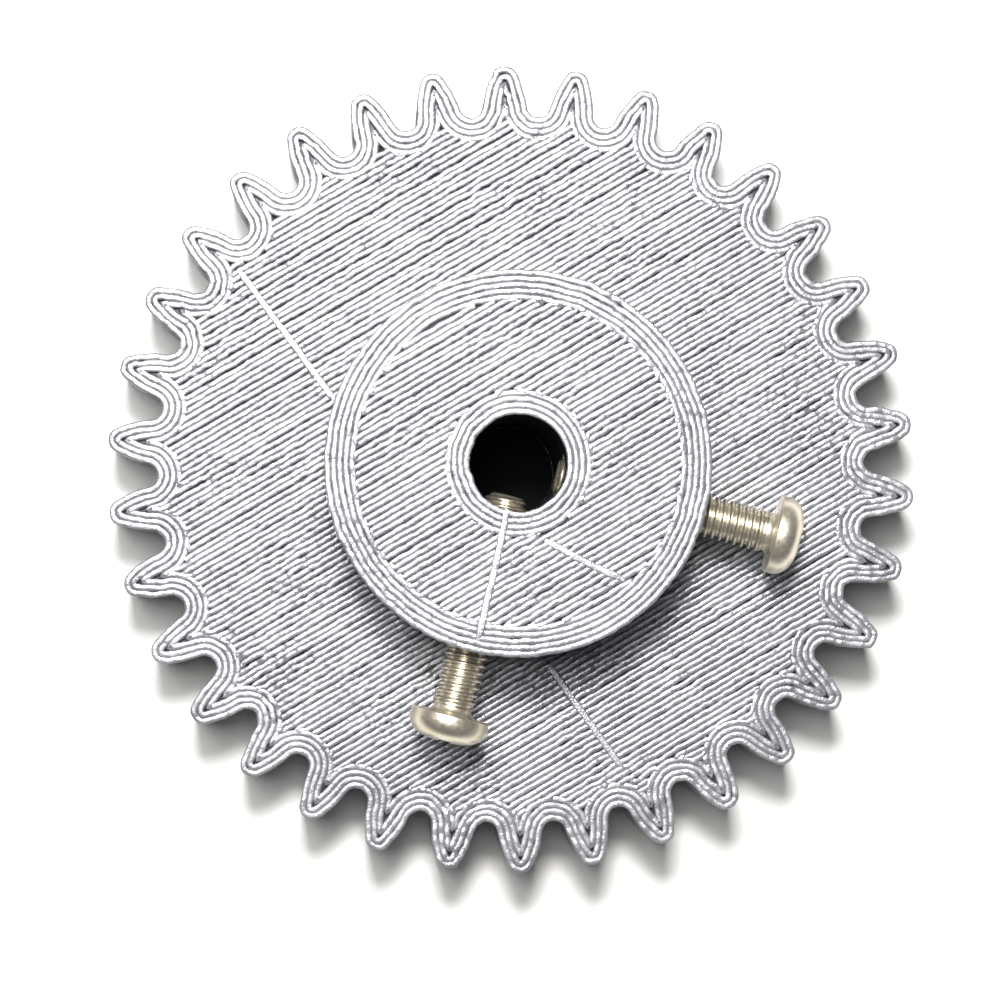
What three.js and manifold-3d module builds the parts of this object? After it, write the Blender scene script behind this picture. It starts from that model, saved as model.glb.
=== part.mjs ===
// A printed spur gear: a toothed disc with a round hub on one side, a through bore for the
// shaft, and two pan-head screws that run radially through the hub wall to clamp the shaft.
//
// Millimetres, +Z up. The origin is on the bore's axis at the gear's back face, which it rests
// on, and the hub stands up towards +Z. One tooth and screw A lie on +X, screw B lies on -Y.

import * as THREE from 'three';
import { mergeVertices } from 'three/addons/utils/BufferGeometryUtils.js';
import Module from 'manifold-3d';

const wasm = await Module();
wasm.setup();

// ---- Driving dimensions -------------------------------------------------------------------

// Teeth
const MODULE = 1.5;
const TEETH = 34;
const PRESSURE_ANGLE = THREE.MathUtils.degToRad(20);
const ADDENDUM_IN_MODULES = 1;
const DEDENDUM_IN_MODULES = 1.25;
const TIP_CORNER_RADIUS = 0.7;

// Disc, hub and bore
const FACE_WIDTH = 8;
const HUB_DIAMETER = 25;
const HUB_HEIGHT = 9;
const BORE_DIAMETER = 6.3;

// Screws
const SCREW_LENGTH = 14.8;
const THREAD_DIAMETER = 2.85;
const THREAD_PITCH = 0.5;
const THREAD_DEPTH = 0.3;
const NECK_LENGTH = 0.5;
const TIP_CHAMFER = 0.3;
const HEAD_DIAMETER = 5.2;
const HEAD_HEIGHT = 1.85;
const HEAD_RIM_HEIGHT = 0.45;
const HEAD_CROWN_DIAMETER = 2.6;
const RECESS_SPAN = 2.8;
const RECESS_SLOT = 0.7;
const RECESS_DEPTH = 1.05;
const RECESS_FLOOR_SPAN = 1.2;

// How the screws sit in the hub: clear of their holes and of the gear's face, with their tips
// standing into the bore
const SCREW_CLEARANCE = 0.2;
const HEAD_TO_GEAR_GAP = 2.4;
const SCREW_A_PROTRUSION = 0.55;
const SCREW_B_PROTRUSION = 1.15;

// Facets, and passes of the root fillet's formula
const FLANK_STEPS = 4;
const HALF_ROOT_STEPS = 3;
const TIP_CORNER_STEPS = 3;
const HUB_SEGMENTS = 96;
const BORE_SEGMENTS = 48;
const HOLE_SEGMENTS = 24;
const SCREW_SEGMENTS = 20;
const HEAD_ARC_STEPS = 6;
const ROOT_FILLET_PASSES = 30;

// How far a cutting or joining solid runs past the face that it cuts or joins
const OVERRUN = 1;

// Vertices closer than this are one vertex
const MERGE_TOLERANCE = 1e-5;

// ---- Sizes that follow --------------------------------------------------------------------

const pitchRadius = MODULE * TEETH / 2;
const tipRadius = pitchRadius + ADDENDUM_IN_MODULES * MODULE;
const rootRadius = pitchRadius - DEDENDUM_IN_MODULES * MODULE;
const baseRadius = pitchRadius * Math.cos(PRESSURE_ANGLE);
const toothPitchAngle = 2 * Math.PI / TEETH;

const hubRadius = HUB_DIAMETER / 2;
const boreRadius = BORE_DIAMETER / 2;
const overallHeight = FACE_WIDTH + HUB_HEIGHT;

const threadRadius = THREAD_DIAMETER / 2;
const threadRootRadius = threadRadius - THREAD_DEPTH;
const headRadius = HEAD_DIAMETER / 2;
const screwHoleRadius = threadRadius + SCREW_CLEARANCE;
const screwAxisHeight = FACE_WIDTH + HEAD_TO_GEAR_GAP + headRadius;

const screws = {
  a: { name: 'set_screw_a', direction: 0, protrusion: SCREW_A_PROTRUSION },
  b: { name: 'set_screw_b', direction: -Math.PI / 2, protrusion: SCREW_B_PROTRUSION },
};

// ---- Involute teeth -----------------------------------------------------------------------

const involute = (angle) => Math.tan(angle) - angle;
const pressureAngleAt = (radius) => Math.acos(baseRadius / radius);

// Half the angle that a tooth takes up at a radius, with no backlash cut from it
function toothHalfAngle(radius) {
  return toothPitchAngle / 4 + involute(PRESSURE_ANGLE) - involute(pressureAngleAt(radius));
}

const gapHalfAngle = (radius) => toothPitchAngle / 2 - toothHalfAngle(radius);

// The full-round root is a circle that touches both flanks and the root circle. A flank moved
// along its normals is the same involute turned, so each pass brings the radius closer.
function rootFilletRadius() {
  let radius = baseRadius * gapHalfAngle(baseRadius);
  for (let pass = 0; pass < ROOT_FILLET_PASSES; pass += 1) {
    const centre = Math.max(rootRadius + radius, baseRadius);
    radius = baseRadius * gapHalfAngle(centre);
  }
  return radius;
}

const polar = (radius, angle) => new THREE.Vector2(radius * Math.cos(angle), radius * Math.sin(angle));

function arcPoints(centre, radius, from, to, steps) {
  const points = [];
  for (let step = 0; step <= steps; step += 1) {
    const angle = THREE.MathUtils.lerp(from, to, step / steps);
    points.push(polar(radius, angle).add(centre));
  }
  return points;
}

// One tooth's rising side, centred on the +X axis, from the middle of the gap below it to the
// tip's middle: half of the root arc, the flank, and the rounded corner of the tip
function toothRisingSide() {
  const rootFillet = rootFilletRadius();
  const rootCentre = rootRadius + rootFillet;
  const rootTilt = pressureAngleAt(rootCentre);
  const gapAngle = -toothPitchAngle / 2;
  const rootArc = arcPoints(
    polar(rootCentre, gapAngle),
    rootFillet,
    gapAngle + Math.PI,
    gapAngle + Math.PI / 2 + rootTilt,
    HALF_ROOT_STEPS,
  );

  const cornerCentre = tipRadius - TIP_CORNER_RADIUS;
  const cornerTilt = pressureAngleAt(cornerCentre);
  const cornerAngle = TIP_CORNER_RADIUS / baseRadius - toothHalfAngle(cornerCentre);
  const tipCorner = arcPoints(
    polar(cornerCentre, cornerAngle),
    TIP_CORNER_RADIUS,
    cornerAngle - Math.PI / 2 + cornerTilt,
    cornerAngle,
    TIP_CORNER_STEPS,
  );

  const flankFoot = rootArc.at(-1).length();
  const flankTop = tipCorner[0].length();
  const flank = [];
  for (let step = 1; step < FLANK_STEPS; step += 1) {
    const radius = THREE.MathUtils.lerp(flankFoot, flankTop, step / FLANK_STEPS);
    flank.push(polar(radius, -toothHalfAngle(radius)));
  }
  return [...rootArc, ...flank, ...tipCorner, new THREE.Vector2(tipRadius, 0)];
}

function gearOutline() {
  const rising = toothRisingSide();
  const falling = rising.slice(1, -1).reverse().map((point) => new THREE.Vector2(point.x, -point.y));
  const tooth = [...rising, ...falling];
  const points = [];
  for (let index = 0; index < TEETH; index += 1) {
    const turn = index * toothPitchAngle;
    const origin = new THREE.Vector2(0, 0);
    points.push(...tooth.map((point) => point.clone().rotateAround(origin, turn)));
  }
  return new THREE.Shape(points);
}

// ---- Joining and cutting ------------------------------------------------------------------

function toSolid(geometry) {
  const bare = geometry.index ? geometry.toNonIndexed() : geometry.clone();
  bare.deleteAttribute('normal');
  bare.deleteAttribute('uv');
  const merged = mergeVertices(bare, MERGE_TOLERANCE);
  return new wasm.Manifold(new wasm.Mesh({
    numProp: 3,
    vertProperties: new Float32Array(merged.attributes.position.array),
    triVerts: new Uint32Array(merged.index.array),
  }));
}

function toGeometry(solid) {
  const mesh = solid.getMesh();
  const geometry = new THREE.BufferGeometry();
  geometry.setAttribute('position', new THREE.BufferAttribute(mesh.vertProperties, 3));
  geometry.setIndex(new THREE.BufferAttribute(mesh.triVerts, 1));
  geometry.computeVertexNormals();
  return geometry;
}

// A cylinder that stands along +Z between two heights
function uprightCylinder(radius, bottom, top, segments) {
  const geometry = new THREE.CylinderGeometry(radius, radius, top - bottom, segments);
  geometry.rotateX(Math.PI / 2);
  geometry.translate(0, 0, (bottom + top) / 2);
  return toSolid(geometry);
}

// ---- Gear wheel ---------------------------------------------------------------------------

// A radial hole through the hub wall on one side, from the bore's axis to outside the hub
function screwHole(direction) {
  const reach = hubRadius + OVERRUN;
  const geometry = new THREE.CylinderGeometry(screwHoleRadius, screwHoleRadius, reach, HOLE_SEGMENTS);
  geometry.rotateZ(-Math.PI / 2);
  geometry.translate(reach / 2, 0, 0);
  geometry.rotateZ(direction);
  geometry.translate(0, 0, screwAxisHeight);
  return toSolid(geometry);
}

function gearWheel() {
  const teeth = { depth: FACE_WIDTH, bevelEnabled: false };
  const disc = toSolid(new THREE.ExtrudeGeometry(gearOutline(), teeth));
  const hub = uprightCylinder(hubRadius, FACE_WIDTH - OVERRUN, overallHeight, HUB_SEGMENTS);
  const bore = uprightCylinder(boreRadius, -OVERRUN, overallHeight + OVERRUN, BORE_SEGMENTS);
  const solid = disc.add(hub).subtract(bore)
    .subtract(screwHole(screws.a.direction))
    .subtract(screwHole(screws.b.direction));
  return toGeometry(solid);
}

// ---- Set screws ---------------------------------------------------------------------------

// The screw lies along +Y of its own frame: its tip at 0, its head beyond SCREW_LENGTH.
// The thread is drawn as a ridge at each turn.
function screwProfile() {
  const profile = [
    new THREE.Vector2(0, 0),
    new THREE.Vector2(threadRootRadius - TIP_CHAMFER / 2, 0),
    new THREE.Vector2(threadRootRadius, TIP_CHAMFER),
  ];
  const threadEnd = SCREW_LENGTH - NECK_LENGTH;
  const turns = Math.floor((threadEnd - TIP_CHAMFER) / THREAD_PITCH);
  for (let turn = 0; turn < turns; turn += 1) {
    const foot = TIP_CHAMFER + turn * THREAD_PITCH;
    profile.push(new THREE.Vector2(threadRadius, foot + THREAD_PITCH / 2));
    profile.push(new THREE.Vector2(threadRootRadius, foot + THREAD_PITCH));
  }
  profile.push(new THREE.Vector2(threadRootRadius, SCREW_LENGTH));
  profile.push(new THREE.Vector2(headRadius, SCREW_LENGTH));

  const crownRadius = HEAD_CROWN_DIAMETER / 2;
  const domeWidth = headRadius - crownRadius;
  const domeHeight = HEAD_HEIGHT - HEAD_RIM_HEIGHT;
  for (let step = 0; step <= HEAD_ARC_STEPS; step += 1) {
    const angle = step / HEAD_ARC_STEPS * Math.PI / 2;
    profile.push(new THREE.Vector2(
      crownRadius + domeWidth * Math.cos(angle),
      SCREW_LENGTH + HEAD_RIM_HEIGHT + domeHeight * Math.sin(angle),
    ));
  }
  profile.push(new THREE.Vector2(0, SCREW_LENGTH + HEAD_HEIGHT));
  return profile;
}

// One slot of the cross recess, narrower at its floor than at its mouth
function recessSlot() {
  const mouth = SCREW_LENGTH + HEAD_HEIGHT;
  const flare = (RECESS_SPAN - RECESS_FLOOR_SPAN) / 2 / RECESS_DEPTH;
  const mouthHalf = RECESS_SPAN / 2 + flare * OVERRUN;
  const shape = new THREE.Shape([
    new THREE.Vector2(-RECESS_FLOOR_SPAN / 2, mouth - RECESS_DEPTH),
    new THREE.Vector2(RECESS_FLOOR_SPAN / 2, mouth - RECESS_DEPTH),
    new THREE.Vector2(mouthHalf, mouth + OVERRUN),
    new THREE.Vector2(-mouthHalf, mouth + OVERRUN),
  ]);
  const geometry = new THREE.ExtrudeGeometry(shape, { depth: RECESS_SLOT, bevelEnabled: false });
  return geometry.translate(0, 0, -RECESS_SLOT / 2);
}

function setScrew() {
  const blank = toSolid(new THREE.LatheGeometry(screwProfile(), SCREW_SEGMENTS));
  const slot = recessSlot();
  const crossSlot = slot.clone().rotateY(Math.PI / 2);
  return toGeometry(blank.subtract(toSolid(slot)).subtract(toSolid(crossSlot)));
}

// ---- Assembly -----------------------------------------------------------------------------

const printedPlastic = new THREE.MeshStandardMaterial({ color: 0xb9bcc4, roughness: 0.5, metalness: 0.1 });
const nickelPlate = new THREE.MeshStandardMaterial({ color: 0xcfc4a8, roughness: 0.25, metalness: 1 });

function named(name, geometry, material) {
  const mesh = new THREE.Mesh(geometry, material);
  mesh.name = name;
  return mesh;
}

// A screw laid along its direction, its tip standing into the bore by its protrusion
function placedScrew(screw) {
  const mesh = named(screw.name, setScrew(), nickelPlate);
  const holder = new THREE.Group();
  mesh.rotation.z = -Math.PI / 2;
  mesh.position.x = boreRadius - screw.protrusion;
  holder.add(mesh);
  holder.rotation.z = screw.direction;
  holder.position.z = screwAxisHeight;
  return holder;
}

const gear = new THREE.Group();
gear.add(named('gear_wheel', gearWheel(), printedPlastic));
gear.add(placedScrew(screws.a));
gear.add(placedScrew(screws.b));

export default gear;
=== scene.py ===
import math
import random

import bmesh
import bpy
import numpy as np
from mathutils import Matrix, Vector


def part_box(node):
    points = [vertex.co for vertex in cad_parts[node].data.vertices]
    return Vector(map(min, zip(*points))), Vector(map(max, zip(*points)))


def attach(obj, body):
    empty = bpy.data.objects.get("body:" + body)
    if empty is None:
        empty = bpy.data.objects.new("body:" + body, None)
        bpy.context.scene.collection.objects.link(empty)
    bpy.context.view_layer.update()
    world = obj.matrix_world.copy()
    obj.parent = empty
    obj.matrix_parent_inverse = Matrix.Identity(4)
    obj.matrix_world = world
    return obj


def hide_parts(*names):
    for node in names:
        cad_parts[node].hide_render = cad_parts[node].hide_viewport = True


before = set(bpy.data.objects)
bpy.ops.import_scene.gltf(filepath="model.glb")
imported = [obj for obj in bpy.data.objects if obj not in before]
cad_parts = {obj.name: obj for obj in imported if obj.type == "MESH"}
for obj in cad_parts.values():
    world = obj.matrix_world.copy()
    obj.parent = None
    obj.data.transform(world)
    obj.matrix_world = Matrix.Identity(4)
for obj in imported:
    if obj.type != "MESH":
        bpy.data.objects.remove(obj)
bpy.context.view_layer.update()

# A printed spur gear with a round hub and two pan-head set screws. Sizes are in millimetres and
# become metres where a mesh is made. The gear lies on its back face, with the bore on +Z.

MM = 0.001

# Points nearer than this become one
WELD = 0.002

# Teeth
MODULE = 1.5
TEETH = 34
PRESSURE_ANGLE = math.radians(20)
TIP_CORNER = 0.7
TIP_RADIUS = MODULE * (TEETH / 2 + 1)
ROOT_RADIUS = MODULE * (TEETH / 2 - 1.25)
BASE_RADIUS = MODULE * TEETH / 2 * math.cos(PRESSURE_ANGLE)
PITCH_ANGLE = 2 * math.pi / TEETH

# Disc, hub and bore
FACE_WIDTH = 8.0
HUB_RADIUS = 12.5
BORE_RADIUS = 3.15
HUB_TOP = 17.0

# How the wheel was printed
LINE = 0.4
LAYER = 0.2
LAYER_RIDGE = 0.045
SKIN = 0.4
RASTER_ANGLE = math.radians(45)
TOOTH_LOOPS = 4
HUB_LOOPS = 5
BORE_LOOPS = 4

# How far the middle of a last-layer bead lies under its face, and of a first-layer bead over
# the bed, and how far a mark's middle lies over the middle of the skin's beads
DISC_SKIN_DROP = 0.14
HUB_SKIN_DROP = 0.25
BED_SKIN_RISE = 0.14
MARK_LIFT = 0.11

# The raster's uneven rows: sideways spread, overshoot at the ends, shortest line, point spacing,
# and how near two rows' ends lie when the nozzle turns from one into the next
ROW_JITTER = 0.02
ROW_OVERSHOOT = (-0.03, 0.15)
SHORTEST_ROW = 0.6
ROW_SPACING = 0.45
TURN_REACH = 1.1

# Screws
SCREW_HEIGHT = 13.0
SCREW_LENGTH = 14.8
THREAD_RADIUS = 1.425
THREAD_PITCH = 0.5
THREAD_DEPTH = 0.255
THREAD_SIDES = 40
THREAD_ROWS = 240
TIP_CHAMFER = 0.3
RUN_OUT = 0.8
NECK_LENGTH = 0.5
HEAD_RADIUS = 2.6
HEAD_HEIGHT = 1.85
RIM_HEIGHT = 0.5
RIM_ROUND = 0.14
DOME_SQUARENESS = 0.62
HEAD_SIDES = 72
HOLE_RADIUS = 1.5
HOLE_LENGTH = 14.0
HOLE_START = 1.5
HOLE_SIDES = 32

# Each screw's direction from the bore's axis, and the radius that its tip stands at
SCREW_PLACES = {"a": (0.0, 2.6), "b": (-math.pi / 2, 2.0)}

# The cross recess: height over the head's seat, half length and half width of its arms, at its
# floor and above its mouth
RECESS = ((0.62, 0.5, 0.24), (2.0, 1.62, 0.42))


# ---- Node helpers ---------------------------------------------------------------------------

def place(tree, kind, inputs=None, **settings):
    """Adds a node, sets its options, and fills its inputs with values or with links."""
    node = tree.nodes.new(kind)
    for name, value in settings.items():
        setattr(node, name, value)
    for key, value in (inputs or {}).items():
        if isinstance(value, bpy.types.NodeSocket):
            tree.links.new(value, node.inputs[key])
        else:
            node.inputs[key].default_value = value
    return node


def calc(tree, operation, *values):
    """A Math node's result."""
    node = place(tree, "ShaderNodeMath", dict(enumerate(values)), operation=operation)
    return node.outputs[0]


def vector_calc(tree, operation, a, b):
    """A Vector Math node's result. SCALE takes a number as its second value."""
    key = "Scale" if operation == "SCALE" else 1
    return place(tree, "ShaderNodeVectorMath", {0: a, key: b}, operation=operation).outputs[0]


def combine(tree, x=0.0, y=0.0, z=0.0):
    return place(tree, "ShaderNodeCombineXYZ", {0: x, 1: y, 2: z}).outputs[0]


SOCKETS = {"geometry": "NodeSocketGeometry", "float": "NodeSocketFloat", "int": "NodeSocketInt",
           "color": "NodeSocketColor", "material": "NodeSocketMaterial"}


def group(name, kind, inputs, outputs):
    """A node group with named sockets. Gives the tree, its inputs by name and its output node."""
    tree = bpy.data.node_groups.new(name, kind)
    for label, form in inputs:
        tree.interface.new_socket(label, in_out="INPUT", socket_type=SOCKETS[form])
    for label, form in outputs:
        tree.interface.new_socket(label, in_out="OUTPUT", socket_type=SOCKETS[form])
    given = tree.nodes.new("NodeGroupInput").outputs
    return tree, {label: given[label] for label, _ in inputs}, tree.nodes.new("NodeGroupOutput")


def shaped(name, tree, mesh, values):
    """Runs a Geometry Nodes tree over a mesh and gives the result as a plain mesh object."""
    source = bpy.data.objects.new(name + "_source", mesh)
    bpy.context.scene.collection.objects.link(source)
    modifier = source.modifiers.new("shape", "NODES")
    modifier.node_group = tree
    sockets = {item.name: item.identifier for item in tree.interface.items_tree
               if item.item_type == "SOCKET" and item.in_out == "INPUT"}
    for label, value in values.items():
        modifier[sockets[label]] = value
    bpy.context.view_layer.update()
    graph = bpy.context.evaluated_depsgraph_get()
    made = bpy.data.meshes.new_from_object(source.evaluated_get(graph))
    made.name = name
    source.modifiers.remove(modifier)
    bpy.data.objects.remove(source)
    piece = bpy.data.objects.new(name, made)
    bpy.context.scene.collection.objects.link(piece)
    return piece


def wire(name, points, edges):
    """A mesh of edges only, from points in millimetres."""
    mesh = bpy.data.meshes.new(name)
    points = np.asarray(points, float)
    if points.shape[1] == 2:
        points = np.c_[points, np.zeros(len(points))]
    mesh.from_pydata((points * MM).tolist(), [tuple(map(int, edge)) for edge in edges], [])
    return mesh


def chain(start, count):
    """The edges that join a run of points, one after another."""
    return [(start + i, start + i + 1) for i in range(count - 1)]


# ---- The tooth's outline --------------------------------------------------------------------

def involute(angle):
    return math.tan(angle) - angle


def pressure_angle_at(radius):
    return math.acos(BASE_RADIUS / radius)


def tooth_half_angle(radius):
    return PITCH_ANGLE / 4 + involute(PRESSURE_ANGLE) - involute(pressure_angle_at(radius))


def polar(radius, angle):
    return np.array([radius * math.cos(angle), radius * math.sin(angle)])


def arc(centre, radius, start, end, steps):
    return [centre + polar(radius, start + (end - start) * i / steps) for i in range(steps + 1)]


def tooth_outline(flank_steps, root_steps, tip_steps):
    """One pitch of the gear's outline, from the middle of one gap to the middle of the next."""
    fillet = BASE_RADIUS * (PITCH_ANGLE / 2 - tooth_half_angle(BASE_RADIUS))
    for _ in range(30):
        centre = max(ROOT_RADIUS + fillet, BASE_RADIUS)
        fillet = BASE_RADIUS * (PITCH_ANGLE / 2 - tooth_half_angle(centre))
    root_centre = ROOT_RADIUS + fillet
    gap = -PITCH_ANGLE / 2
    tilt = pressure_angle_at(root_centre)
    root = arc(polar(root_centre, gap), fillet, gap + math.pi, gap + math.pi / 2 + tilt, root_steps)
    corner_centre = TIP_RADIUS - TIP_CORNER
    corner = TIP_CORNER / BASE_RADIUS - tooth_half_angle(corner_centre)
    tilt = pressure_angle_at(corner_centre)
    tip = arc(polar(corner_centre, corner), TIP_CORNER, corner - math.pi / 2 + tilt, corner,
              tip_steps)
    low, high = (math.hypot(*root[-1]), math.hypot(*tip[0]))
    flank = [polar(r, -tooth_half_angle(r)) for r in np.linspace(low, high, flank_steps + 1)[1:-1]]
    rising = np.array(root + flank + tip)
    return np.vstack([rising, (rising * [1, -1])[::-1]])


def turned(points, angle):
    c, s = math.cos(angle), math.sin(angle)
    return np.asarray(points) @ np.array([[c, s], [-s, c]])


def left_normals(path):
    """Normals on the left of a path over one pitch, which agree where the next pitch joins."""
    forward = np.linalg.norm(turned(path[0], PITCH_ANGLE) - path[-1]) < 0.01
    step = PITCH_ANGLE if forward else -PITCH_ANGLE
    longer = np.vstack([turned(path[-2], -step), path, turned(path[1], step)])
    along = longer[2:] - longer[:-2]
    along /= np.linalg.norm(along, axis=1)[:, None]
    return np.c_[-along[:, 1], along[:, 0]]


def respaced(points, spacing):
    """The same path with evenly spaced points."""
    run = np.r_[0, np.cumsum(np.linalg.norm(np.diff(points, axis=0), axis=1))]
    count = max(2, int(round(run[-1] / spacing)) + 1)
    at = np.linspace(0, run[-1], count)
    return np.c_[np.interp(at, run, points[:, 0]), np.interp(at, run, points[:, 1])]


def inset_tooth(distance, spacing):
    """One pitch of the outline moved into the plastic, cut where its two sides meet."""
    fine = respaced(tooth_outline(24, 24, 16), 0.04)
    around = np.vstack([turned(fine, k * PITCH_ANGLE) for k in (-1, 0, 1)])
    moved = fine + left_normals(fine) * distance
    gaps = np.linalg.norm(moved[:, None] - around[None], axis=2).min(axis=1)
    rising = moved[(gaps > distance - 0.01) & (moved[:, 1] < 0)]
    start = polar(ROOT_RADIUS - distance, -PITCH_ANGLE / 2)
    apex = [rising[-1, 0] + 0.3 * abs(rising[-1, 1]), 0.0]
    rising = np.vstack([start, rising[1:], apex])
    rising = respaced(rising, spacing)
    rising = np.vstack([rising[0], (rising[:-2] + rising[1:-1] * 2 + rising[2:]) / 4, rising[-1]])
    return np.vstack([rising, (rising * [1, -1])[::-1][1:]])


def circle(radius, count=180):
    angles = np.linspace(0, 2 * math.pi, count, endpoint=False)
    return np.c_[radius * np.cos(angles), radius * np.sin(angles)]


def whole_turn(pitch_path):
    return np.vstack([turned(pitch_path[:-1], k * PITCH_ANGLE) for k in range(TEETH)])


# ---- Toolpaths ------------------------------------------------------------------------------

def raster(loops, angle, seed, keep=0):
    """Parallel lines that fill the space between closed loops, with a turn at every other end.

    Keep is 1 for the rows on one side of the axis, -1 for the other side and 0 for all."""
    chance = random.Random(seed)
    loops = [turned(loop, -angle) for loop in loops]
    starts = np.vstack(loops)
    ends = np.vstack([np.roll(loop, -1, axis=0) for loop in loops])
    points, edges, before = [], [], []
    reach = np.abs(starts[:, 1]).max()
    for row in range(int(-reach / LINE), int(reach / LINE) + 1):
        y = (row + 0.5) * LINE
        if y * keep < 0:
            continue
        hit = (starts[:, 1] > y) != (ends[:, 1] > y)
        a, b = starts[hit], ends[hit]
        xs = np.sort(a[:, 0] + (y - a[:, 1]) * (b[:, 0] - a[:, 0]) / (b[:, 1] - a[:, 1]))
        shift, now = chance.gauss(0, ROW_JITTER), []
        for x0, x1 in zip(xs[::2], xs[1::2]):
            x0, x1 = x0 - chance.uniform(*ROW_OVERSHOOT), x1 + chance.uniform(*ROW_OVERSHOOT)
            if x1 - x0 < SHORTEST_ROW:
                continue
            count = max(3, int((x1 - x0) / ROW_SPACING))
            for x in np.linspace(x0, x1, count):
                points.append((x, y + shift))
            first = len(points) - count
            edges += chain(first, count)
            now.append((first, len(points) - 1))
        side = row % 2
        for span in now:
            for old in before:
                p, q = np.array(points[span[side]]), np.array(points[old[side]])
                if np.linalg.norm(p - q) < TURN_REACH:
                    edges.append((old[side], span[side]))
        before = now
    return turned(np.array(points), angle), edges


# ---- Geometry Nodes -------------------------------------------------------------------------

def copies_round_axis(tree, geometry, count):
    """Turns copies of a slice about the bore's axis, evenly spaced."""
    index = place(tree, "GeometryNodeInputIndex").outputs[0]
    turn = calc(tree, "DIVIDE", calc(tree, "MULTIPLY", index, 2 * math.pi), count)
    points = place(tree, "GeometryNodePoints", {"Count": count})
    copies = place(tree, "GeometryNodeInstanceOnPoints", {
        "Points": points.outputs[0], "Instance": geometry,
        "Rotation": combine(tree, z=turn)})
    return copies.outputs[0]


def merged(tree, geometry, distance=WELD):
    """Joins points that lie within a distance, in millimetres."""
    return place(tree, "GeometryNodeMergeByDistance",
                 {"Geometry": geometry, "Distance": distance * MM}).outputs[0]


def welded(tree, copies):
    """Makes copies real and joins their ends."""
    real = place(tree, "GeometryNodeRealizeInstances", {"Geometry": copies})
    return merged(tree, real.outputs[0])


def joined(tree, parts):
    join = place(tree, "GeometryNodeJoinGeometry")
    for part in parts:
        tree.links.new(part, join.inputs[0])
    return join.outputs[0]


def position_parts(tree):
    """The X, Y and Z of each point."""
    position = place(tree, "GeometryNodeInputPosition").outputs[0]
    return place(tree, "ShaderNodeSeparateXYZ", {0: position}).outputs


def stored(tree, geometry, name, value, domain="POINT"):
    """Keeps a value on the mesh under a name that the finishes read."""
    return place(tree, "GeometryNodeStoreNamedAttribute", {
        "Geometry": geometry, "Name": name, "Value": value},
        data_type="FLOAT", domain=domain).outputs[0]


def wander(tree, length, seed, squash=(1.0, 1.0, 1.0)):
    """A slow random direction that changes from place to place, about -0.5 to 0.5."""
    position = place(tree, "GeometryNodeInputPosition").outputs[0]
    where = vector_calc(tree, "MULTIPLY", position, squash)
    noise = place(tree, "ShaderNodeTexNoise", {
        "Vector": where, "W": seed, "Scale": calc(tree, "DIVIDE", 1.0, length), "Detail": 2.0},
        noise_dimensions="4D")
    return vector_calc(tree, "SUBTRACT", noise.outputs["Color"], (0.5, 0.5, 0.5))


def finished(tree, geometry, material, output):
    """Ends a tree: smooth shading, instances made real, and the piece's material."""
    shade = place(tree, "GeometryNodeSetShadeSmooth", {"Geometry": geometry, "Shade Smooth": True})
    real = place(tree, "GeometryNodeRealizeInstances", {"Geometry": shade.outputs[0]})
    painted = place(tree, "GeometryNodeSetMaterial",
                    {"Geometry": real.outputs[0], "Material": material})
    tree.links.new(painted.outputs[0], output.inputs[0])


# A bead has a slow wander and a quick one. The quick one's length and sideways push are shares
# of the slow one's. Patches of calm and of torn beads follow a third wander, and an end is
# thicker or thinner over its last END_LENGTH.
BEAD_SIDES = 10
SHORT_WANDER = 0.35
JOLT = 0.8
PATCH_SEED = 5.0
PATCH_STRENGTH = 5.0
CALMEST_PATCH = 0.35
END_LENGTH = 0.7


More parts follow.
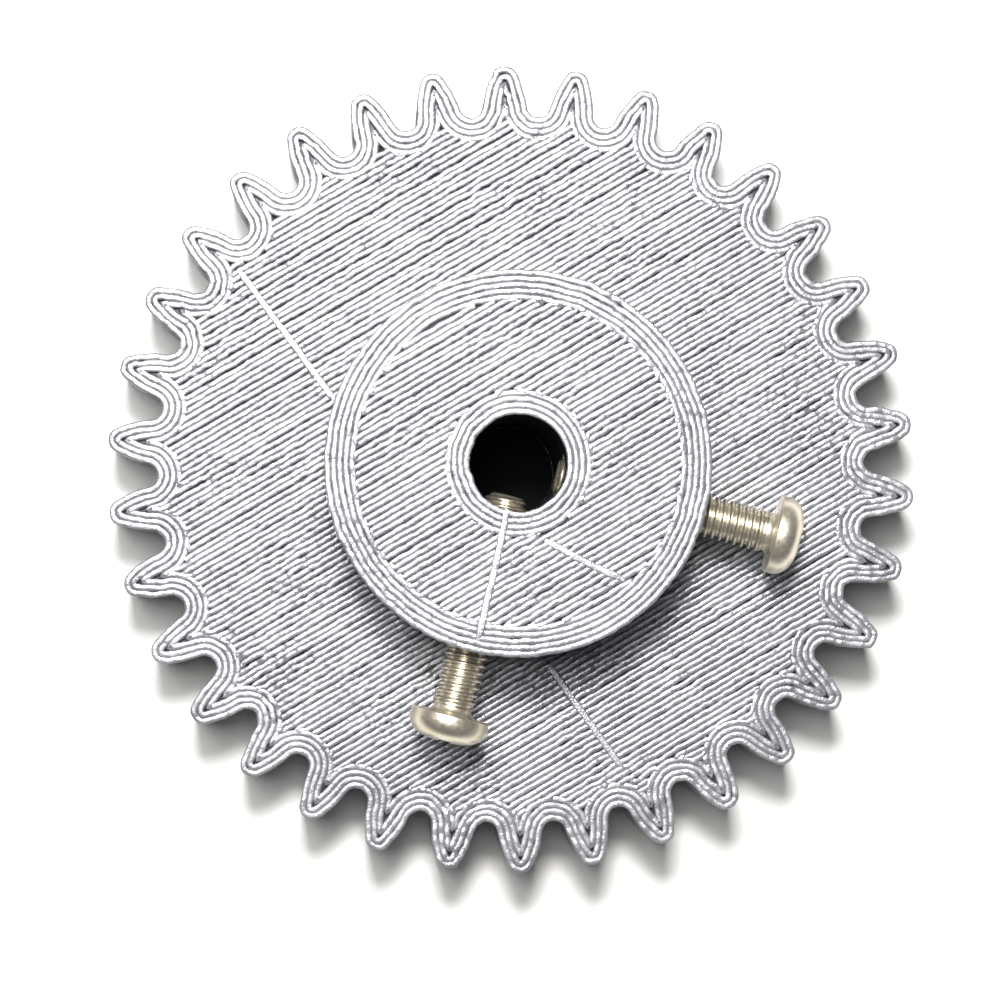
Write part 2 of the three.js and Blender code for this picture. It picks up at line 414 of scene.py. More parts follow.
def bead_tree():
    """Lays a bead of filament along every line of a toolpath."""
    tree, given, output = group("laid_beads", "GeometryNodeTree", [
        ("Toolpath", "geometry"), ("Copies", "int"), ("Step", "float"), ("Bead Width", "float"),
        ("Crown", "float"), ("Root", "float"), ("Squareness", "float"), ("Height", "float"),
        ("Side Wander", "float"), ("Rise Wander", "float"), ("Swell", "float"),
        ("Wander Length", "float"), ("Patch Length", "float"), ("End Blob", "float"),
        ("Seed", "float"), ("Filament", "material")], [("Beads", "geometry")])
    path = welded(tree, copies_round_axis(tree, given["Toolpath"], given["Copies"]))
    curve = place(tree, "GeometryNodeMeshToCurve", {"Mesh": path})
    even = place(tree, "GeometryNodeResampleCurve",
                 {"Curve": curve.outputs[0], "Length": given["Step"]}, mode="LENGTH")
    drift = wander(tree, given["Wander Length"], given["Seed"])
    sides = place(tree, "ShaderNodeSeparateXYZ", {0: drift}).outputs
    short = wander(tree, calc(tree, "MULTIPLY", given["Wander Length"], SHORT_WANDER),
                   given["Seed"])
    quick = place(tree, "ShaderNodeSeparateXYZ", {0: short}).outputs
    slow = wander(tree, given["Patch Length"], calc(tree, "ADD", given["Seed"], PATCH_SEED))
    patch = place(tree, "ShaderNodeSeparateXYZ", {0: slow}).outputs[0]
    rough = calc(tree, "MAXIMUM", calc(tree, "MULTIPLY_ADD", patch, PATCH_STRENGTH, 1.0),
                 CALMEST_PATCH)
    offset = combine(
        tree, calc(tree, "MULTIPLY", sides[0], given["Side Wander"]),
        calc(tree, "MULTIPLY", sides[1], given["Side Wander"]),
        calc(tree, "MULTIPLY", quick[2], given["Rise Wander"]))
    jolt = calc(tree, "MULTIPLY", given["Side Wander"], JOLT)
    offset = vector_calc(tree, "ADD", offset, combine(
        tree, calc(tree, "MULTIPLY", quick[0], jolt), calc(tree, "MULTIPLY", quick[1], jolt)))
    offset = vector_calc(tree, "ADD", vector_calc(tree, "SCALE", offset, rough),
                         combine(tree, z=given["Height"]))
    moved = place(tree, "GeometryNodeSetPosition",
                  {"Geometry": even.outputs[0], "Offset": offset})
    upright = place(tree, "GeometryNodeSetCurveNormal", {"Curve": moved.outputs[0]}, mode="Z_UP")
    along = place(tree, "GeometryNodeSplineParameter").outputs["Length"]
    total = place(tree, "GeometryNodeSplineLength").outputs["Length"]
    to_end = calc(tree, "MINIMUM", along, calc(tree, "SUBTRACT", total, along))
    blob = place(tree, "ShaderNodeMapRange", {
        "Value": to_end, "From Min": 0.0, "From Max": END_LENGTH * MM, "To Min": given["End Blob"],
        "To Max": 0.0}, interpolation_type="SMOOTHSTEP").outputs[0]
    scale = calc(tree, "ADD", 1.0, calc(tree, "ADD", blob, calc(
        tree, "MULTIPLY", calc(tree, "MULTIPLY", quick[0], rough), given["Swell"])))
    ring = place(tree, "GeometryNodeCurvePrimitiveCircle",
                 {"Resolution": BEAD_SIDES, "Radius": 1.0})
    spot = position_parts(tree)

    def squared(value):
        size = calc(tree, "POWER", calc(tree, "ABSOLUTE", value), given["Squareness"])
        return calc(tree, "MULTIPLY", calc(tree, "SIGN", value), size)

    # On an upright curve the section's Y axis points down
    down = squared(spot[1])
    fall = calc(tree, "ADD",
                calc(tree, "MULTIPLY", calc(tree, "MAXIMUM", down, 0.0), given["Root"]),
                calc(tree, "MULTIPLY", calc(tree, "MINIMUM", down, 0.0), given["Crown"]))
    half = calc(tree, "MULTIPLY", given["Bead Width"], 0.5)
    # One on the crown and the root, and nothing half-way down the sides, where beads meet; there
    # the top finish paints shade into the grooves
    crest = stored(tree, ring.outputs[0], "bead_shade_mask", calc(tree, "ABSOLUTE", down))
    section = place(tree, "GeometryNodeSetPosition", {
        "Geometry": crest,
        "Position": combine(tree, calc(tree, "MULTIPLY", squared(spot[0]), half), fall)})
    beads = place(tree, "GeometryNodeCurveToMesh", {
        "Curve": upright.outputs[0], "Profile Curve": section.outputs[0], "Scale": scale,
        "Fill Caps": True})
    finished(tree, beads.outputs[0], given["Filament"], output)
    return tree


# The wander changes faster from layer to layer than along one, and pushes only sideways
LAYER_BY_LAYER = (1.0, 1.0, 9.0)
LEVEL = (1.0, 1.0, 0.0)


def wall_tree():
    """Stacks printed layers: one slice of one layer is turned round the axis and piled up."""
    tree, given, output = group("stacked_layers", "GeometryNodeTree", [
        ("Slice", "geometry"), ("Copies", "int"), ("Layers", "int"), ("Layer Height", "float"),
        ("Base Height", "float"), ("Wander", "float"), ("Wander Length", "float"),
        ("Shaded Radius", "float"), ("Seed", "float"), ("Filament", "material")],
        [("Wall", "geometry")])
    ring = copies_round_axis(tree, given["Slice"], given["Copies"])
    levels = place(tree, "GeometryNodeMeshLine", {
        "Count": given["Layers"], "Start Location": combine(tree, z=given["Base Height"]),
        "Offset": combine(tree, z=given["Layer Height"])})
    pile = place(tree, "GeometryNodeInstanceOnPoints",
                 {"Points": levels.outputs[0], "Instance": ring})
    wall = welded(tree, pile.outputs[0])
    drift = wander(tree, given["Wander Length"], given["Seed"], LAYER_BY_LAYER)
    push = vector_calc(tree, "SCALE", drift, given["Wander"])
    push = vector_calc(tree, "MULTIPLY", push, LEVEL)
    wall = place(tree, "GeometryNodeSetPosition", {"Geometry": wall, "Offset": push}).outputs[0]
    faces = place(tree, "GeometryNodeInputMeshEdgeNeighbors").outputs[0]
    border = calc(tree, "COMPARE", faces, 1.0, 0.1)
    height = position_parts(tree)[2]
    tall = calc(tree, "MULTIPLY", given["Layers"], given["Layer Height"])
    middle = calc(tree, "ADD", given["Base Height"], calc(tree, "MULTIPLY", tall, 0.5))
    above = calc(tree, "GREATER_THAN", height, middle)
    flat = vector_calc(tree, "MULTIPLY", place(
        tree, "GeometryNodeInputPosition").outputs[0], LEVEL)
    radius = place(tree, "ShaderNodeVectorMath", {0: flat}, operation="LENGTH").outputs["Value"]
    # Painted shade: the bore's wall and both lids stay out of this mask, so their finish darkens
    # them nearly to black
    parts = [stored(tree, wall, "wall_shade_mask", calc(
        tree, "GREATER_THAN", radius, given["Shaded Radius"]), "FACE")]
    for at_top in (True, False):
        side = above if at_top else calc(tree, "SUBTRACT", 1.0, above)
        rim = place(tree, "GeometryNodeMeshToCurve",
                    {"Mesh": wall, "Selection": calc(tree, "MULTIPLY", border, side)})
        fill = place(tree, "GeometryNodeFillCurve", {"Curve": rim.outputs[0]}, mode="TRIANGLES")
        level = calc(tree, "ADD", given["Base Height"], tall) if at_top else given["Base Height"]
        lid = place(tree, "GeometryNodeSetPosition",
                    {"Geometry": fill.outputs[0], "Offset": combine(tree, z=level)}).outputs[0]
        if not at_top:
            lid = place(tree, "GeometryNodeFlipFaces", {"Mesh": lid}).outputs[0]
        parts.append(lid)
    finished(tree, merged(tree, joined(tree, parts)), given["Filament"], output)
    return tree


# The root ends and the crest starts at these shares of a flank. At the neck the thread keeps
# RUN_OUT_DEPTH of its depth, and the tip is narrower by NOSE_CUT chamfers.
THREAD_WELD = 0.001
ROOT_SHARE = 0.2
CREST_SHARE = 0.82
RUN_OUT_DEPTH = 0.25
NOSE_CUT = 1.6


def thread_tree():
    """Rolls a flat grid into a shank and presses a helical thread into it."""
    tree, given, output = group("rolled_thread", "GeometryNodeTree", [
        ("Blank", "geometry"), ("Length", "float"), ("Radius", "float"), ("Depth", "float"),
        ("Pitch", "float"), ("Tip Chamfer", "float"), ("Run Out", "float"),
        ("Sides", "int"), ("Rows", "int"), ("Steel", "material")], [("Shank", "geometry")])
    grid = place(tree, "GeometryNodeMeshGrid", {
        "Size X": 1.0, "Size Y": 1.0, "Vertices X": calc(tree, "ADD", given["Sides"], 1.0),
        "Vertices Y": given["Rows"]})
    spot = position_parts(tree)
    around = calc(tree, "ADD", spot[0], 0.5)
    raw = calc(tree, "MULTIPLY", calc(tree, "ADD", spot[1], 0.5), given["Length"])
    row = calc(tree, "DIVIDE", given["Length"], given["Rows"])
    along = calc(tree, "MINIMUM", calc(tree, "MAXIMUM", raw, row),
                 calc(tree, "SUBTRACT", given["Length"], row))
    phase = calc(tree, "FRACT", calc(tree, "SUBTRACT", calc(
        tree, "DIVIDE", along, given["Pitch"]), around))
    ramp = calc(tree, "SUBTRACT", 1.0, calc(tree, "ABSOLUTE", calc(
        tree, "MULTIPLY_ADD", phase, 2.0, -1.0)))
    crest = place(tree, "ShaderNodeMapRange", {
        "Value": ramp, "From Min": ROOT_SHARE, "From Max": CREST_SHARE, "To Min": 0.0,
        "To Max": 1.0}).outputs[0]
    # One on the crest and in the root, and nothing half-way down the flank, where the steel's
    # finish paints shade
    flatness = calc(tree, "ABSOLUTE", calc(tree, "MULTIPLY_ADD", crest, 2.0, -1.0))
    fade = place(tree, "ShaderNodeMapRange", {
        "Value": calc(tree, "SUBTRACT", given["Length"], along), "From Min": 0.0,
        "From Max": given["Run Out"], "To Min": RUN_OUT_DEPTH, "To Max": 1.0},
        interpolation_type="SMOOTHSTEP").outputs[0]
    cut = calc(tree, "MULTIPLY", calc(tree, "MULTIPLY", given["Depth"], fade),
               calc(tree, "SUBTRACT", 1.0, crest))
    radius = calc(tree, "SUBTRACT", given["Radius"], cut)
    nose = calc(tree, "ADD", calc(tree, "SUBTRACT", given["Radius"], calc(
        tree, "MULTIPLY", given["Tip Chamfer"], NOSE_CUT)), along)
    radius = calc(tree, "MINIMUM", radius, nose)
    # The first and the last row close the ends, so their radius is nothing
    half_row = calc(tree, "MULTIPLY", row, 0.5)
    inside = calc(tree, "MULTIPLY", calc(tree, "GREATER_THAN", raw, half_row), calc(
        tree, "LESS_THAN", raw, calc(tree, "SUBTRACT", given["Length"], half_row)))
    radius = calc(tree, "MULTIPLY", radius, inside)
    angle = calc(tree, "MULTIPLY", around, 2 * math.pi)
    kept = stored(tree, grid.outputs[0], "thread_shade_mask", flatness)
    shank = place(tree, "GeometryNodeSetPosition", {
        "Geometry": kept, "Position": combine(
            tree, calc(tree, "MULTIPLY", radius, calc(tree, "COSINE", angle)),
            calc(tree, "MULTIPLY", radius, calc(tree, "SINE", angle)), along)})
    whole = merged(tree, joined(tree, (given["Blank"], shank.outputs[0])), THREAD_WELD)
    finished(tree, whole, given["Steel"], output)
    return tree


# ---- Finishes -------------------------------------------------------------------------------

def surface_variation():
    """Slow changes of tone and gloss, and a fine grain, on Object coordinates."""
    tree, given, output = group("surface_variation", "ShaderNodeTree", [
        ("Patch Size", "float"), ("Fleck Size", "float"), ("Grain Size", "float"),
        ("Dark Tone", "color"), ("Light Tone", "color"), ("Fleck Amount", "float"),
        ("Glossiest", "float"), ("Dullest", "float")],
        [("Tone", "color"), ("Roughness", "float"), ("Grain", "float")])
    where = place(tree, "ShaderNodeTexCoord").outputs["Object"]

    def noise(size, detail, rough=0.5):
        return place(tree, "ShaderNodeTexNoise", {
            "Vector": where, "Scale": calc(tree, "DIVIDE", 1.0, size), "Detail": detail,
            "Roughness": rough}).outputs["Fac"]

    patches = place(tree, "ShaderNodeMapRange", {
        "Value": noise(given["Patch Size"], 3.0), "From Min": 0.35, "From Max": 0.65}).outputs[0]
    flecks = place(tree, "ShaderNodeMapRange", {
        "Value": noise(given["Fleck Size"], 2.0), "From Min": 0.3, "From Max": 0.7}).outputs[0]
    level = place(tree, "ShaderNodeMix", {0: given["Fleck Amount"], 2: patches, 3: flecks},
                  data_type="FLOAT").outputs[0]
    tone = place(tree, "ShaderNodeMix", {0: level, 6: given["Dark Tone"], 7: given["Light Tone"]},
                 data_type="RGBA").outputs[2]
    rough = place(tree, "ShaderNodeMix", {0: flecks, 2: given["Glossiest"], 3: given["Dullest"]},
                  data_type="FLOAT").outputs[0]
    tree.links.new(tone, output.inputs["Tone"])
    tree.links.new(rough, output.inputs["Roughness"])
    tree.links.new(noise(given["Grain Size"], 2.0, 0.6), output.inputs["Grain"])
    return tree


def painted_shade():
    """Paints shade: darkens a tone towards a low tone where a height mask is small."""
    tree, given, output = group("painted_shade", "ShaderNodeTree", [
        ("Height", "float"), ("Start", "float"), ("End", "float"), ("Low Tone", "color"),
        ("Tone", "color")], [("Tone", "color")])
    level = place(tree, "ShaderNodeMapRange", {
        "Value": given["Height"], "From Min": given["Start"], "From Max": given["End"]})
    shaded = place(tree, "ShaderNodeMix", {
        0: level.outputs[0], 6: given["Low Tone"], 7: given["Tone"]}, data_type="RGBA")
    tree.links.new(shaded.outputs[2], output.inputs["Tone"])
    return tree


variation = surface_variation()
painted_shade_group = painted_shade()


def finish(name, values, bump_strength, bump_depth, metallic, low=None):
    """A Principled material whose tone, gloss and grain come from surface_variation.

    Low gives the name of a stored mask, the tone of painted shade where it is small, and its start
    and end."""
    material = bpy.data.materials.new(name)
    material.use_nodes = True
    tree = material.node_tree
    shader = next(node for node in tree.nodes if node.type == "BSDF_PRINCIPLED")
    effect = place(tree, "ShaderNodeGroup", values, node_tree=variation)
    tone = effect.outputs["Tone"]
    # Painted shade: where the stored mask is small, the tone darkens to the given low tone
    if low:
        mask, shade_tone, start, end = low
        height = place(tree, "ShaderNodeAttribute", attribute_name=mask)
        tone = place(tree, "ShaderNodeGroup", {
            "Height": height.outputs["Fac"], "Start": start, "End": end,
            "Low Tone": (*shade_tone, 1.0), "Tone": tone}, node_tree=painted_shade_group).outputs["Tone"]
    grain = place(tree, "ShaderNodeBump", {
        "Height": effect.outputs["Grain"], "Strength": bump_strength,
        "Distance": bump_depth * MM})
    tree.links.new(tone, shader.inputs["Base Color"])
    tree.links.new(effect.outputs["Roughness"], shader.inputs["Roughness"])
    tree.links.new(grain.outputs[0], shader.inputs["Normal"])
    shader.inputs["Metallic"].default_value = metallic
    return material


def filament(name, dark, light, glossiest, dullest, bump_strength, metallic, low=None):
    """Silky printed plastic."""
    return finish(name, {
        "Patch Size": 4.0 * MM, "Fleck Size": 0.6 * MM, "Grain Size": 0.16 * MM,
        "Dark Tone": (*dark, 1.0), "Light Tone": (*light, 1.0), "Fleck Amount": 0.4,
        "Glossiest": glossiest, "Dullest": dullest}, bump_strength, 0.035, metallic, low)


def steel(name, glossiest, dullest, low=None):
    """Warm plated steel."""
    return finish(name, {
        "Patch Size": 1.6 * MM, "Fleck Size": 0.25 * MM, "Grain Size": 0.05 * MM,
        "Dark Tone": (0.72, 0.65, 0.51, 1.0), "Light Tone": (0.88, 0.82, 0.69, 1.0),
        "Fleck Amount": 0.35, "Glossiest": glossiest, "Dullest": dullest},
        0.15, 0.006, 0.9, low)


# Painted shade: the top's tone darkens in the grooves between beads
silver_top = filament(
    "silver_filament_top", (0.23, 0.23, 0.248), (0.39, 0.39, 0.412), 0.22, 0.40, 0.8, 0.5,
    low=("bead_shade_mask", (0.14, 0.14, 0.158), 0.0, 0.6))
# Painted shade: the bore's wall and the lids darken nearly to black
silver_wall = filament(
    "silver_filament_wall", (0.25, 0.25, 0.265), (0.37, 0.37, 0.39), 0.32, 0.5, 0.5, 0.45,
    low=("wall_shade_mask", (0.05, 0.05, 0.056), 0.0, 1.0))
silver_bed = filament(
    "silver_filament_bed_side", (0.27, 0.27, 0.286), (0.39, 0.39, 0.41), 0.2, 0.4, 0.4, 0.45)
# Painted shade: the thread's flanks darken to a brown low tone between the crests
thread_steel = steel("screw_thread_steel", 0.24, 0.36,
                     low=("thread_shade_mask", (0.22, 0.18, 0.12), 0.0, 0.8))
head_steel = steel("screw_head_steel", 0.3, 0.4)


# ---- The wheel ------------------------------------------------------------------------------

beads = bead_tree()
layers = wall_tree()
wheel_pieces = []


def kept_in_size(piece):
    """Presses what wandered past the wheel's size back onto its faces, and lists the piece."""
    low, high = (np.array(corner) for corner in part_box("gear_wheel"))
    points = np.empty(len(piece.data.vertices) * 3, np.float32)
    piece.data.vertices.foreach_get("co", points)
    points = np.clip(points.reshape(-1, 3), low, high)
    piece.data.vertices.foreach_set("co", points.astype(np.float32).ravel())
    piece.data.update()
    wheel_pieces.append(piece)
    return piece


def lay(name, path, copies=1, **values):
    """Lays beads along a path of points and edges, with sizes in millimetres."""
    points, edges = path
    sizes = {"Step": 0.3, "Bead Width": 0.41, "Crown": 0.14, "Root": 0.26, "Height": 0.0,
             "Side Wander": 0.08, "Rise Wander": 0.05, "Wander Length": 1.6, "Patch Length": 5.0}
    plain = {"Squareness": 0.85, "Swell": 0.25, "End Blob": 0.12, "Seed": 1.0}
    filament_used = values.pop("Filament", silver_top)
    for label, value in values.items():
        (sizes if label in sizes else plain)[label] = value
    given = {label: value * MM for label, value in sizes.items()}
    piece = shaped(name, beads, wire(name, points, edges),
                   {**given, **plain, "Copies": copies, "Filament": filament_used})
    return kept_in_size(piece)


def pitch_loops(insets, spacing):
    points, edges = [], []
    for inset in insets:
        path = inset_tooth(inset, spacing)
        edges += chain(len(points), len(path))
        points += path.tolist()
    return points, edges


def ring_loops(radii, spacing):
    points, edges = [], []
    for radius in radii:
        count = int(2 * math.pi * radius / spacing)
        edges += chain(len(points), count) + [(len(points) + count - 1, len(points))]
        points += circle(radius, count).tolist()
    return points, edges


def layer_slice(name, outer, inner):
    """One layer's edge over one pitch: the outer and the bore wall, bulged at half height."""
    points, faces = [], []
    for path, inward in ((outer, left_normals(outer)), (inner, left_normals(inner))):
        start, count = len(points), len(path)
        for height, sunk in ((0.0, LAYER_RIDGE), (LAYER / 2, 0.0), (LAYER, LAYER_RIDGE)):
            level = path + inward * sunk
            points += [(x, y, height) for x, y in level]
        for ring in range(2):
            for i in range(count - 1):
                a = start + ring * count + i
                faces.append((a, a + 1, a + 1 + count, a + count))
    mesh = bpy.data.meshes.new(name)
    mesh.from_pydata((np.array(points) * MM).tolist(), [], faces)
    return mesh


def arc_path(radius, steps, backwards=False):
    angles = np.linspace(-PITCH_ANGLE / 2, PITCH_ANGLE / 2, steps + 1)
    path = np.array([polar(radius, angle) for angle in angles])
    return path[::-1] if backwards else path


def stack(name, outer, base, top, seed):
    inner = arc_path(BORE_RADIUS, 3, backwards=True)
    piece = shaped(name, layers, layer_slice(name, outer, inner), {
        "Copies": TEETH, "Layers": round((top - base) / LAYER), "Layer Height": LAYER * MM,
        "Base Height": base * MM, "Wander": 0.05 * MM, "Wander Length": 1.5 * MM,
        "Shaded Radius": (BORE_RADIUS + LINE) * MM, "Seed": seed, "Filament": silver_wall})
    return kept_in_size(piece)


stack("toothed_disc", tooth_outline(5, 3, 4), LAYER, FACE_WIDTH - SKIN, 3.0)
hub = stack("hub_wall", arc_path(HUB_RADIUS, 6), FACE_WIDTH - SKIN, HUB_TOP - SKIN, 5.0)

# Top skin of the disc: four loops along the teeth, then the raster inside them
disc_top = FACE_WIDTH - DISC_SKIN_DROP
tooth_insets = [LINE * (k + 0.5) for k in range(TOOTH_LOOPS)]
top_skin = {"Step": 0.18, "Rise Wander": 0.2, "Swell": 0.36, "Wander Length": 1.2,
            "Side Wander": 0.22, "Squareness": 0.55}
calm_skin = {**top_skin, "Rise Wander": 0.13, "Swell": 0.25}
lay("tooth_loops", pitch_loops(tooth_insets, 0.15), TEETH, Height=disc_top, Seed=2.0,
    **{**calm_skin, "Bead Width": 0.45})
field_edge = whole_turn(inset_tooth(LINE * TOOTH_LOOPS - 0.08, 0.2))
for half, seed, keep in (("upper", 11, 1), ("lower", 21, -1)):
    lay(f"disc_raster_{half}", raster([field_edge, circle(HUB_RADIUS)], RASTER_ANGLE, seed, keep),
        Height=disc_top, Seed=3.0, **top_skin)

# Top skin of the hub
hub_top = HUB_TOP - HUB_SKIN_DROP
rim_radii = [HUB_RADIUS - LINE * (k + 0.5) for k in range(HUB_LOOPS)]
bore_radii = [BORE_RADIUS + LINE * (k + 0.5) for k in range(BORE_LOOPS)]
lay("hub_rings", ring_loops(rim_radii + bore_radii, 0.2), Height=hub_top, Seed=7.0,
    **{**calm_skin, "Bead Width": 0.44})
lay("hub_raster", raster([circle(HUB_RADIUS - LINE * HUB_LOOPS + 0.02),
                          circle(BORE_RADIUS + LINE * BORE_LOOPS - 0.02)], RASTER_ANGLE, 12),
    Height=hub_top, Seed=9.0, **top_skin)

# Marks that the nozzle left as it crossed finished skin
for name, path, height in (
        ("hub_mark_bore", [(0.02, -3.05), (0.18, -5.44), (0.25, -8.6), (0.36, -11.7)], hub_top),
        ("hub_mark_side", [(2.9, -4.39), (5.7, -5.05), (8.53, -5.58)], hub_top),
        ("disc_mark_long", [(-21.1, 8.2), (-16.9, 4.8), (-12.6, 1.3)], disc_top),
        ("disc_mark_low", [(5.61, -12.06), (9.0, -14.9), (12.24, -17.58)], disc_top)):
    lay(name, (path, chain(0, len(path))), Height=height + MARK_LIFT, **{
        **top_skin, "Bead Width": 0.52, "Crown": 0.06, "Rise Wander": 0.04, "End Blob": -0.4})

# First layer, pressed flat on the bed
bed = {"Height": BED_SKIN_RISE, "Crown": 0.2, "Root": 0.14, "Squareness": 0.4, "Rise Wander": 0.0,
       "Swell": 0.06, "Filament": silver_bed, "Side Wander": 0.04, "Step": 0.4}
lay("bed_tooth_loops", pitch_loops(tooth_insets[:2], 0.25), TEETH, **bed)
bed_edge = whole_turn(inset_tooth(LINE * 2 + 0.1, 0.25))
lay("bed_bore_rings", ring_loops(bore_radii[:2], 0.3), **bed)
lay("bed_raster", raster([bed_edge, circle(BORE_RADIUS + 2 * LINE + 0.1)], -RASTER_ANGLE, 13),
    **{**bed, "Step": 0.8})


def cut(piece, cutters):
    """Cuts closed solids out of a closed piece."""
    for cutter in cutters:
        modifier = piece.modifiers.new("hole", "BOOLEAN")
        modifier.operation, modifier.solver, modifier.object = "DIFFERENCE", "EXACT", cutter
    bpy.context.view_layer.update()
    graph = bpy.context.evaluated_depsgraph_get()
    made = bpy.data.meshes.new_from_object(piece.evaluated_get(graph))
    piece.modifiers.clear()
    piece.data = made
    for cutter in cutters:
        bpy.data.objects.remove(cutter)


def lathe(name, profile, segments):
    """Turns a profile of (radius, height) about Z. It starts and ends on the axis."""
    mesh = bmesh.new()
    rings = []
    for radius, height in profile:
        if radius < 1e-6:
            rings.append([mesh.verts.new((0, 0, height * MM))])
        else:
            rings.append([mesh.verts.new((*(polar(radius, 2 * math.pi * k / segments) * MM),
                                          height * MM)) for k in range(segments)])
    for low, high in zip(rings, rings[1:]):
        for k in range(segments):
            n = (k + 1) % segments
            corners = [low[k % len(low)], low[n % len(low)], high[n % len(high)],
                       high[k % len(high)]]
            corners = [v for i, v in enumerate(corners) if v not in corners[:i]]
            mesh.faces.new(corners)
    bmesh.ops.recalc_face_normals(mesh, faces=mesh.faces)
    data = bpy.data.meshes.new(name)
    mesh.to_mesh(data)
    mesh.free()
    piece = bpy.data.objects.new(name, data)
    bpy.context.scene.collection.objects.link(piece)
    return piece


def stand(piece, direction, start):
    """Turns a piece made along +Z to run out of the hub in a direction, from a radius."""
    out = Vector((math.cos(direction), math.sin(direction), 0))
    turn = out.to_track_quat("Z", "Y").to_matrix().to_4x4()
    place_at = Matrix.Translation(out * start * MM + Vector((0, 0, SCREW_HEIGHT * MM)))
    piece.data.transform(place_at @ turn)
    return piece


hole = [(0, 0), (HOLE_RADIUS, 0), (HOLE_RADIUS, HOLE_LENGTH), (0, HOLE_LENGTH)]
cut(hub, [stand(lathe("hole", hole, HOLE_SIDES), direction, HOLE_START)
          for direction, _ in SCREW_PLACES.values()])

for piece in wheel_pieces:
    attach(piece, "wheel")
    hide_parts("gear_wheel")


# ---- The set screws -------------------------------------------------------------------------

threads = thread_tree()


def cross_recess():
    """A closed, tapered cross that is cut into a screw's head."""
    cross = bmesh.new()
    ends = []
    for height, span, slot in RECESS:
        corners = [corner for quarter in range(4)
                   for corner in turned([(span, -slot), (span, slot), (slot, slot)],
                                        quarter * math.pi / 2)]
        ends.append([cross.verts.new((x * MM, y * MM, (SCREW_LENGTH + height) * MM))
                     for x, y in corners])
    low, high = ends
    for k in range(len(low)):
        n = (k + 1) % len(low)
        cross.faces.new((low[k], low[n], high[n], high[k]))
    cross.faces.new(low[::-1])
    cross.faces.new(high)
    bmesh.ops.recalc_face_normals(cross, faces=cross.faces)
    data = bpy.data.meshes.new("recess")
    cross.to_mesh(data)
    cross.free()
    recess = bpy.data.objects.new("recess", data)
    bpy.context.scene.collection.objects.link(recess)
    return recess


def screw_head(name):
    """A pan head with its rounded rim, and the neck that joins it to the shank."""
    base = SCREW_LENGTH
    neck = [(0.0, base - 0.75), (1.2, base - 0.75), (1.24, base - 0.5), (1.3, base - 0.3),
            (1.42, base - 0.12), (1.62, base), (1.9, base + 0.01)]
    bend = [(HEAD_RADIUS - RIM_ROUND + RIM_ROUND * math.cos(a),
             base + RIM_ROUND + RIM_ROUND * math.sin(a)) for a in np.linspace(-math.pi / 2, 0, 5)]
    rise = HEAD_HEIGHT - RIM_HEIGHT
    dome = [(HEAD_RADIUS * math.cos(a) ** DOME_SQUARENESS, base + RIM_HEIGHT + rise * math.sin(a))
            for a in np.linspace(0, math.pi / 2, 15)[:-1]]
    head = lathe(name, neck + bend + dome + [(0.0, base + HEAD_HEIGHT)], HEAD_SIDES)
    cut(head, [cross_recess()])
    head.data.materials.clear()
    head.data.materials.append(head_steel)
    head.data.shade_smooth()
    head.data.set_sharp_from_angle(angle=math.radians(38))
    return head


def set_screw(label, direction, start):
    blank = bpy.data.meshes.new("blank")
    shank = shaped(f"set_screw_{label}_shank", threads, blank, {
        "Length": (SCREW_LENGTH - NECK_LENGTH) * MM, "Radius": THREAD_RADIUS * MM,
        "Depth": THREAD_DEPTH * MM, "Pitch": THREAD_PITCH * MM, "Tip Chamfer": TIP_CHAMFER * MM,
        "Run Out": RUN_OUT * MM, "Sides": THREAD_SIDES, "Rows": THREAD_ROWS,
        "Steel": thread_steel})
    for piece in (shank, screw_head(f"set_screw_{label}_head")):
        stand(piece, direction, start)
        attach(piece, f"screw_{label}")
        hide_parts(f"set_screw_{label}")


for label, (direction, start) in SCREW_PLACES.items():
    set_screw(label, direction, start)


# ---- Floor, light and camera ----------------------------------------------------------------

FLOOR_REACH = 2.0
# Size and height of the disc of painted shadow in the bore
SHADOW_DISC_RADIUS = BORE_RADIUS - 0.01
SHADOW_DISC_BOTTOM, SHADOW_DISC_TOP = 0.01, 0.03


def plain_finish(name, color, roughness, specular=0.5):
    material = bpy.data.materials.new(name)
    material.use_nodes = True
    shader = next(node for node in material.node_tree.nodes if node.type == "BSDF_PRINCIPLED")
    shader.inputs["Base Color"].default_value = (*color, 1.0)
    shader.inputs["Roughness"].default_value = roughness
    shader.inputs["Specular IOR Level"].default_value = specular
    return material


floor_mesh = bpy.data.meshes.new("floor")
floor_mesh.from_pydata([(x * FLOOR_REACH, y * FLOOR_REACH, 0)
                        for x, y in ((-1, -1), (1, -1), (1, 1), (-1, 1))], [], [(0, 1, 2, 3)])
floor_mesh.materials.append(plain_finish("pale_floor", (0.86, 0.85, 0.82), 0.8))
floor = bpy.data.objects.new("floor", floor_mesh)
bpy.context.scene.collection.objects.link(floor)

# A disc of painted shadow on the floor inside the bore: a near-black sheet where the floor lies in
# shade, so that no white shines up through it
bore_shadow = lathe("bore_shadow_disc", [(0, SHADOW_DISC_BOTTOM), (SHADOW_DISC_RADIUS, SHADOW_DISC_BOTTOM), (SHADOW_DISC_RADIUS, SHADOW_DISC_TOP),
                           (0, SHADOW_DISC_TOP)], 48)
bore_shadow.data.materials.append(plain_finish("painted_bore_shadow", (0.008, 0.008, 0.009), 0.95, 0.1))

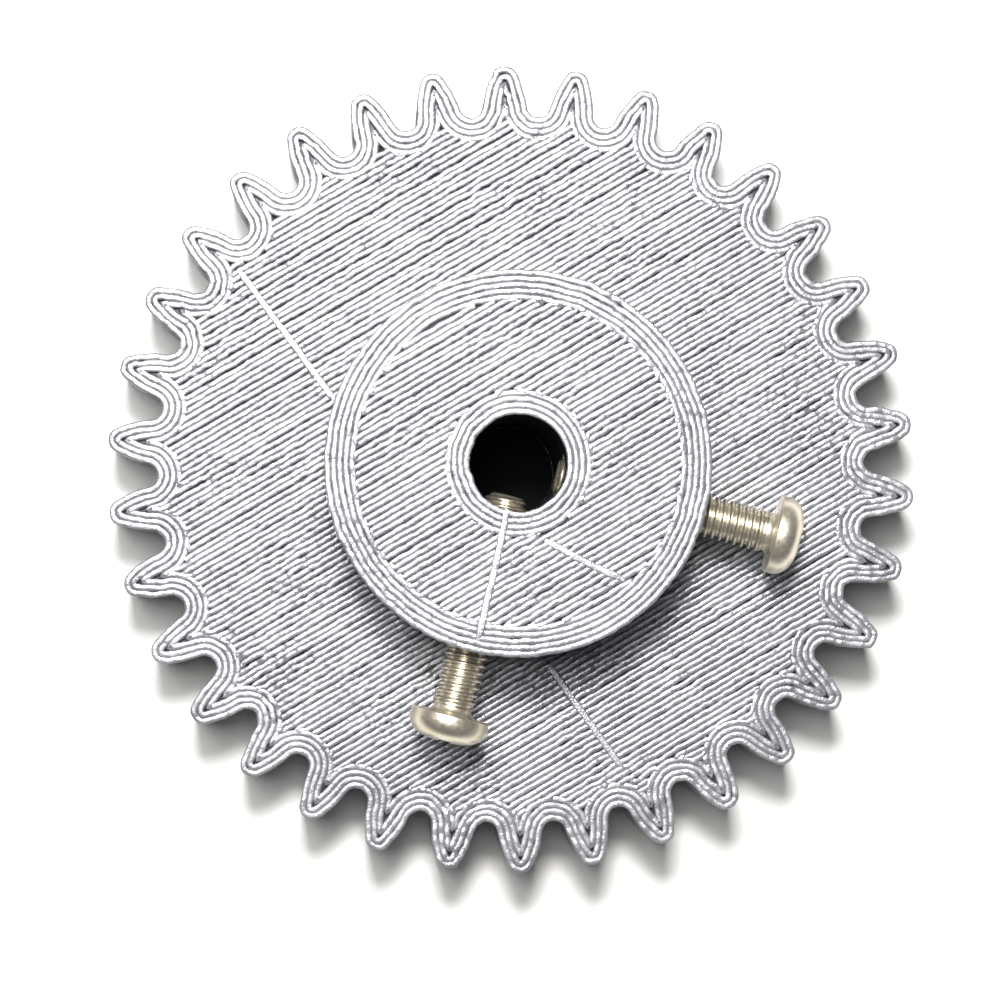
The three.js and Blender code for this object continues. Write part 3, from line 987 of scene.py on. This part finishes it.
VIEW_UP = Vector((-0.2536, 0.9673, 0.0))
VIEW_RIGHT = Vector((0.9673, 0.2536, 0.0))
LENS, SENSOR_WIDTH = 126.76, 36.0
CAMERA_AT = Vector((-7.888, -11.672, 243.0)) * MM
LOOK_AT = Vector((-0.275, -2.264, 8.0)) * MM


def aim(thing, target, up):
    """Turns a camera or a lamp, which look along their own -Z, to face a point."""
    ahead = (target - thing.location).normalized()
    side = ahead.cross(up).normalized()
    thing.rotation_euler = Matrix((side, side.cross(ahead), -ahead)).transposed().to_euler()


def lamp(name, azimuth, elevation, distance, size, power, color):
    """A square soft box over the gear. Azimuth runs counterclockwise from the view's right."""
    data = bpy.data.lights.new(name, "AREA")
    data.shape, data.size, data.energy, data.color = "SQUARE", size * MM, power, color
    thing = bpy.data.objects.new(name, data)
    bpy.context.scene.collection.objects.link(thing)
    a, e = math.radians(azimuth), math.radians(elevation)
    flat = VIEW_RIGHT * math.cos(a) + VIEW_UP * math.sin(a)
    thing.location = (flat * math.cos(e) + Vector((0, 0, math.sin(e)))) * distance * MM
    aim(thing, Vector((0, 0, FACE_WIDTH * MM)), VIEW_UP)


lamp("key_lamp", azimuth=100, elevation=72, distance=250, size=46, power=0.74,
     color=(1.0, 0.99, 0.97))
lamp("sheen_softbox", azimuth=128, elevation=76, distance=250, size=110, power=0.38,
     color=(1.0, 1.0, 0.99))
lamp("fill_softbox", azimuth=125, elevation=62, distance=400, size=300, power=0.26,
     color=(0.90, 0.94, 1.0))

world = bpy.data.worlds.new("studio")
world.use_nodes = True
bpy.context.scene.world = world
background = next(n for n in world.node_tree.nodes if n.type == "BACKGROUND")
background.inputs["Color"].default_value = (0.88, 0.91, 1.0, 1.0)
background.inputs["Strength"].default_value = 0.08
bpy.context.scene.view_settings.view_transform = "Standard"

camera_data = bpy.data.cameras.new("camera")
camera_data.sensor_width, camera_data.lens = SENSOR_WIDTH, LENS
camera_data.clip_start, camera_data.clip_end = 0.01, 10.0
camera = bpy.data.objects.new("camera", camera_data)
bpy.context.scene.collection.objects.link(camera)
camera.location = CAMERA_AT
aim(camera, LOOK_AT, VIEW_UP)
bpy.context.scene.camera = camera

bpy.context.view_layer.update()
